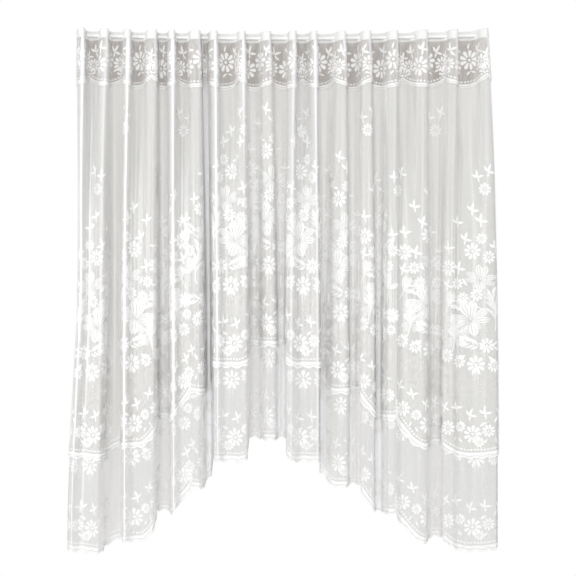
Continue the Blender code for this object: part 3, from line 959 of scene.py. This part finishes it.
HEM_FLOWERS = (
    ("daisy", -13, 92, 33, 6),
    ("daisy", 46, 100, 24, 14),
    ("daisy", -58, 116, 20, 0),
    ("daisy", 104, 94, 24, 9),
    ("daisy", -108, 92, 28, 2),
    ("sprig", 32, 164, 27, -8),
    ("sprig", -22, 160, 26, 12),
    ("sprig", -74, 176, 25, -16),
    ("sprig", 90, 158, 24, 10),
    ("sprig", -122, 156, 24, 20),
    ("leaf", 30, 56, 22, 28),
    ("leaf", -52, 58, 22, -36),
    ("leaf", 76, 54, 20, -20),
    ("leaf", -84, 54, 20, 22),
    ("leaf", 14, 120, 30, 52),
    ("leaf", -38, 118, 28, -48),
    ("leaf", 66, 128, 28, 30),
    ("daisy", 12, 62, 19, 0),
)
POSY = (
    ("daisy", 0, 0, 24, 0),
    ("sprig", 20, 62, 27, 14),
    ("sprig", -24, 44, 26, -12),
)
FLOUNCE_FLOWERS = (
    ("daisy", 34, 104, 37, 6),
    ("daisy", -34, 78, 36, 14),
    ("daisy", 98, 92, 27, 0),
    ("daisy", -94, 84, 25, 8),
    ("sprig", -24, 137, 28, 4),
    ("sprig", 76, 135, 27, 20),
    ("sprig", -84, 134, 27, -18),
    ("leaf", 30, 142, 26, 4),
    ("leaf", 22, 48, 24, 36),
    ("leaf", 40, 62, 22, 100),
    ("leaf", -66, 112, 22, -50),
    ("leaf", 70, 62, 24, 50),
)
CUSP_FLOWERS = (
    ("fan", 0, 20, 32, 0),
    ("sprig", 0, 84, 22, 0),
)
MARGIN = 0.004


class Embroidery:
    """All the thread patches of one layer, gathered from motifs at their places on the cloth."""

    def __init__(self, layer):
        self.layer = layer
        self.patches = []

    def put(self, motif, flat, drop, side=1):
        """Add a motif at a flat place, mirrored if side is -1. A patch past the edge is left off."""
        for patch in motif.patches:
            flats = flat + side * patch.places[:, 0]
            if np.abs(flats).max() < FLAT_HALF - MARGIN:
                places = np.stack([flats, drop - patch.places[:, 1]], axis=1)
                self.patches.append(patch._replace(places=places))

    def piece(self, name, look):
        starts = np.cumsum([0] + [len(patch.prouds) for patch in self.patches])
        faces = np.concatenate([patch.faces + start for patch, start in zip(self.patches, starts)])
        places, prouds, grains = map(np.concatenate, list(zip(*self.patches))[:3])
        points = drape.place(places[:, 0], places[:, 1], self.layer, prouds)
        values = {"grain": grains, "fill": np.ones(len(grains))}
        return add_piece(name, points, faces, look, values)


def drawn(rows):
    """A motif drawn from a pattern's rows."""
    motif = Motif()
    for kind, across, up, size, turn in rows:
        draw = getattr(motif, kind)
        draw(np.array([across, up]) / 1000, size / 1000, turn)
    return motif


DOT, DOT_PITCH, DOT_END, DOT_RAISED = 0.0072, 0.0122, 0.42, 0.0009
# How far above the arch the dots run
TIER_DOTS, FLOUNCE_DOTS = 0.034, 0.0225


def put_dots(work, arch, above):
    """A row of nearly square dots that follows an arch."""
    flats = places_across(EDGE_COLUMNS)
    drops = lifted(flats, arch, above)
    along = lengths_along(np.column_stack([flats, drops]))
    for here in np.arange(DOT_PITCH, along[-1] - DOT_PITCH, DOT_PITCH):
        before, after = np.interp((here - DOT, here + DOT), along, drops)
        slope = np.clip((after - before) / (2 * DOT), -1.0, 1.0)
        way = towards(90.0 + np.degrees(np.arcsin(slope)))
        motif = Motif()
        ends = np.array([-way, 0 * way, way]) * DOT / 2
        motif.strip(ends, [DOT * DOT_END, DOT / 2, DOT * DOT_END], DOT_RAISED)
        work.put(motif, np.interp(here, along, flats), np.interp(here, along, drops))


# How much higher each outer step's bouquet sits above its hem than the middle one's, left and right
BOUQUET_LIFT = ((0.0, 0.0), (-0.020, 0.0), (0.0, 0.020), (0.010, 0.060), (0.020, 0.045))
# The posies' rows: their drop and the flat place of one of them. They stay above the bouquets.
POSY_PITCH, POSY_ROWS = 0.450, ((0.342, -0.180), (0.565, 0.045))
POSIES = int(FLAT_HALF / POSY_PITCH) + 1
BOUQUET_TOP = 0.78
LOBES = int(FLAT_HALF / FLOUNCE_REPEAT) + 2


def steps_middles():
    """Each step's middle as a flat place, its side of the cloth and the drop of its bouquet's foot."""
    found = [(0.0, 1, STEPS[0].bottom)]
    for side, column in ((-1, 0), (1, 1)):
        begins = [step[column] for step in STEPS[1:]] + [FLAT_HALF]
        for begin, end, step, lift in zip(begins, begins[1:], STEPS[1:], BOUQUET_LIFT):
            found.append((side * (begin + end) / 2, side, step.bottom - lift[column]))
    return found


def embroider_tier(layer):
    """The pattern of an arched tier: a bouquet in each step, flowers along the hem and posies above."""
    work = Embroidery(layer.number)
    extra = REAR_EXTRA * layer.number
    bouquet = drawn(BOUQUET)
    hem_motifs = [
        (across, up, drawn([(kind, 0, 0, size, turn)])) for kind, across, up, size, turn in HEM_FLOWERS
    ]
    middles = steps_middles()
    for middle, side, bottom in middles:
        work.put(bouquet, middle, bottom + extra, side)
        for across, up, motif in hem_motifs:
            flat = middle + side * across / 1000
            if abs(flat) < FLAT_HALF:
                work.put(motif, flat, tier_arch(flat) + extra - up / 1000, side)
    posy = drawn(POSY)
    for drop, phase in POSY_ROWS:
        for n in range(-POSIES, POSIES + 1):
            flat = phase + n * POSY_PITCH
            nearest = min(middles, key=lambda middle: abs(middle[0] - flat))
            if abs(flat) <= FLAT_HALF and drop < nearest[2] + extra - BOUQUET_TOP:
                work.put(posy, flat, drop, 1 if flat > 0 else -1)
    put_dots(work, layer.arch, TIER_DOTS)
    return work


def embroider_flounce(layer):
    """The flounce's pattern: flowers in each lobe, and a fan over each cusp."""
    work = Embroidery(layer.number)
    lobe, cusp = drawn(FLOUNCE_FLOWERS), drawn(CUSP_FLOWERS)
    for n in range(-LOBES, LOBES):
        start = FLOUNCE_CUSP_AT + n * FLOUNCE_REPEAT
        work.put(lobe, start + FLOUNCE_REPEAT / 2, FLOUNCE_BOTTOM)
        work.put(cusp, start, FLOUNCE_CUSP)
    put_dots(work, layer.arch, FLOUNCE_DOTS)
    return work


# ---- The heading band ----

# Its section: drops, with half its thickness there. Thick cords run along both edges.
BAND_SECTION = (
    (-BAND_ABOVE, 0.0005),
    (-0.0172, 0.0011),
    (-0.0160, 0.0012),
    (-0.0148, 0.0007),
    (-0.0110, 0.0008),
    (-SLOT_ABOVE, 0.0007),
    (-0.0030, 0.0009),
    (0.0020, 0.0007),
    (0.0070, 0.0009),
    (SLOT_BELOW, 0.0007),
    (0.0122, 0.0012),
    (0.0136, 0.0012),
    (BAND_BELOW, 0.0005),
)


def make_heading():
    """The band, with a slot for the rod wherever a fold's wall crosses it."""
    drops, halves = (np.array(column) for column in zip(*BAND_SECTION))
    flats = places_across(PLAN_COLUMNS)
    wide, tall = np.meshgrid(flats, drops)
    thick = np.broadcast_to(halves[:, None], tall.shape)
    crossing = np.abs(drape.look_up(flats, np.zeros(len(flats)))[0][:, Y]) < SLOT_REACH
    open_rows = [-SLOT_ABOVE <= a and b <= SLOT_BELOW for a, b in zip(drops, drops[1:])]
    open_columns = crossing[:-1] & crossing[1:]
    kept = ~(np.array(open_rows)[:, None] & open_columns).ravel()
    front = grid_faces(*tall.shape)[kept]
    sides = [drape.place(wide, tall, 0, sign * thick) for sign in (1, -1)]
    count = tall.size
    edges = np.stack([front, np.roll(front, -1, axis=1)], axis=-1).reshape(-1, 2)
    ways = {tuple(edge) for edge in edges.tolist()}
    rim = [(b, a, a + count, b + count) for a, b in ways if (b, a) not in ways]
    faces = np.concatenate([front, front[:, ::-1] + count, np.array(rim)])
    points = np.concatenate([side.reshape(-1, 3) for side in sides])
    values = {"flat": np.tile(flat_vectors(wide, tall), (2, 1))}
    return add_piece("lace_heading", points, faces, tape_material(), values)


# ---- The pieces ----

heading = make_heading()
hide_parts("heading_band")

# number: where the layer hangs, from -1 in front to 1 behind; rows: how many rows of points its net has
Layer = namedtuple("Layer", "name node number arch hem edge_width rows embroider")
LAYERS = (
    Layer("flounce", "valance_flounce", -1, flounce_arch, flounce_hem, 0.0150, 14, embroider_flounce),
    Layer("front", "front_tier", 0, tier_arch, tier_hem, 0.0245, 40, embroider_tier),
    Layer("rear", "rear_tier", 1, rear_arch, rear_hem, 0.0245, 48, embroider_tier),
)
for layer in LAYERS:
    thread = thread_material(f"{layer.name}_thread", *THREADS[layer.name])
    net_look = net_material(f"{layer.name}_net", *NETS[layer.name])
    net = make_net(f"lace_{layer.name}_net", layer, net_look)
    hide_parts(layer.node)
    edge = make_edge(f"lace_{layer.name}_edge", layer, thread)
    flowers = layer.embroider(layer).piece(f"lace_{layer.name}_flowers", thread)
    lengths = layer.hem(places_across(NET_COLUMNS)) - TOP

paint = paint_material()
for slot in bpy.data.objects["rod"].material_slots:
    slot.material = paint

# ---- Floor, light and camera ----

FLOOR_DROP, FLOOR_RADIUS, FLOOR_POINTS = 0.42, 1.25, 96
# The world is seen at full white and lights the cloth at this share of it
AMBIENT = 0.57
# The lamps, which face one place on the cloth: their turn from straight in front in degrees, their height
# as a share of the distance, the distance, their size and power
LIT_DROP = 0.95
LAMPS = (
    ("left", -46.0, 0.15, 4.2, 1.6, 54.0),
    ("right", 50.0, 0.20, 8.5, 2.4, 76.0),
    ("front", -4.0, 0.05, 8.5, 3.0, 310.0),
    ("back", 168.0, 0.25, 8.5, 3.0, 600.0),
)
# The camera: its place along the rod, how far in front of it and below it, and the width it sees there
VIEW_X, VIEW_DISTANCE, VIEW_DROP, VIEW_WIDTH = 0.776, 4.4, 0.926, 2.10816
SENSOR = 36.0


def make_floor():
    """A round pale floor, some way below the longest hem."""
    mesh = bpy.data.meshes.new("floor")
    angles = np.linspace(0.0, 2 * pi, FLOOR_POINTS, endpoint=False)
    rim = [(FLOOR_RADIUS * cos(a), FLOOR_RADIUS * sin(a), 0.0) for a in angles]
    mesh.from_pydata(rim, [], [tuple(range(FLOOR_POINTS))])
    floor = add_object("floor", mesh)
    floor.location = (MIDDLE_X, 0.0, cad_box[0][2] - FLOOR_DROP)
    mesh.materials.append(new_material("pale_floor", (0.93, 0.93, 0.93), 0.9).owner)


def make_world():
    """A white world, which lights the scene less than it shows."""
    world = bpy.data.worlds.new("studio")
    n = Nodes(world, "Background")
    seen = n.add("ShaderNodeLightPath", {})["Is Camera Ray"]
    strength = n.mapped(seen, 0.0, 1.0, AMBIENT, 1.0)
    n.feed(n.shader, {"Color": (1.0, 1.0, 1.0, 1.0), "Strength": strength})
    bpy.context.scene.world = world
    bpy.context.scene.view_settings.view_transform = "Standard"


def add_lamp(name, turn, height, distance, size, power):
    """A square lamp that the camera doesn't see."""
    light = bpy.data.lights.new(name, "AREA")
    light.shape = "SQUARE"
    light.size = size
    light.energy = power
    way = Vector((sin(radians(turn)), -cos(radians(turn)), height))
    holder = add_object(name, light)
    holder.location = Vector((MIDDLE_X, 0.0, -LIT_DROP)) + distance * way
    holder.rotation_euler = way.to_track_quat("Z", "Y").to_euler()
    holder.visible_camera = False


def add_camera():
    camera = bpy.data.cameras.new("camera")
    camera.sensor_width = SENSOR
    camera.lens = SENSOR * VIEW_DISTANCE / VIEW_WIDTH
    viewer = add_object("camera", camera)
    viewer.location = (VIEW_X, -VIEW_DISTANCE, -VIEW_DROP)
    viewer.rotation_euler = (pi / 2, 0.0, 0.0)
    bpy.context.scene.camera = viewer


make_floor()
make_world()
for lamp in LAMPS:
    add_lamp(*lamp)
add_camera()
